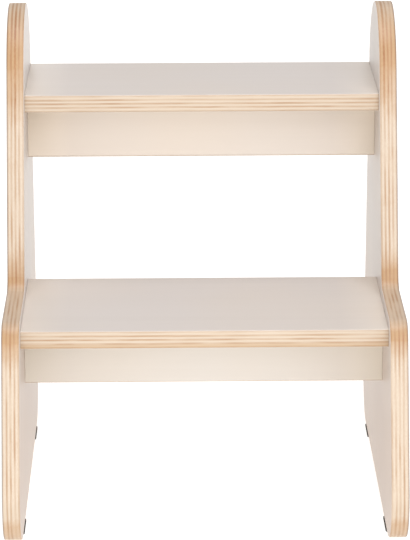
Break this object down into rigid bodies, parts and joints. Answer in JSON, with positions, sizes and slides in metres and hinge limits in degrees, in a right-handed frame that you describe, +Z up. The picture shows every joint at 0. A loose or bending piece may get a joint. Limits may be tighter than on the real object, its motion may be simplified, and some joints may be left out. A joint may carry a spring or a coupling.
{
  "type": "step stool",
  "caption": "Wooden step stool with two plywood treads between arched, stepped side panels, with an upright apron board under each tread.",
  "frame": {"origin": "on the floor at the centre of the stool's footprint", "axes": "+X across the stool to the user's right when facing it, +Y from the front to the back, +Z up"},
  "size_m": [0.4014, 0.4334, 0.487],
  "materials": {
    "panel_ply": "satin",
    "tread_ply": "satin",
    "apron_ply": "satin",
    "pad_rubber": "matte",
    "zinc_steel": "satin",
    "dowel_wood": "matte"
  },
  "bodies": {
    "root": {"side_panel_left": "panel_ply", "side_panel_right": "panel_ply", "tread_upper": "tread_ply", "tread_lower": "tread_ply", "apron_upper": "apron_ply", "apron_lower": "apron_ply", "foot_pad_front_left": "pad_rubber", "foot_pad_front_right": "pad_rubber", "foot_pad_back_left": "pad_rubber", "foot_pad_back_right": "pad_rubber", "tread_screw_upper_left_front": "zinc_steel", "tread_screw_upper_left_back": "zinc_steel", "apron_screw_upper_left": "zinc_steel", "tread_dowel_upper_left": "dowel_wood", "apron_dowel_upper_left": "dowel_wood", "tie_dowel_upper_left": "dowel_wood", "tread_screw_upper_right_front": "zinc_steel", "tread_screw_upper_right_back": "zinc_steel", "apron_screw_upper_right": "zinc_steel", "tread_dowel_upper_right": "dowel_wood", "apron_dowel_upper_right": "dowel_wood", "tie_dowel_upper_right": "dowel_wood", "tread_screw_lower_left_front": "zinc_steel", "tread_screw_lower_left_back": "zinc_steel", "apron_screw_lower_left": "zinc_steel", "tread_dowel_lower_left": "dowel_wood", "apron_dowel_lower_left": "dowel_wood", "tie_dowel_lower_left": "dowel_wood", "tread_screw_lower_right_front": "zinc_steel", "tread_screw_lower_right_back": "zinc_steel", "apron_screw_lower_right": "zinc_steel", "tread_dowel_lower_right": "dowel_wood", "apron_dowel_lower_right": "dowel_wood", "tie_dowel_lower_right": "dowel_wood"}
  },
  "joints": []
}
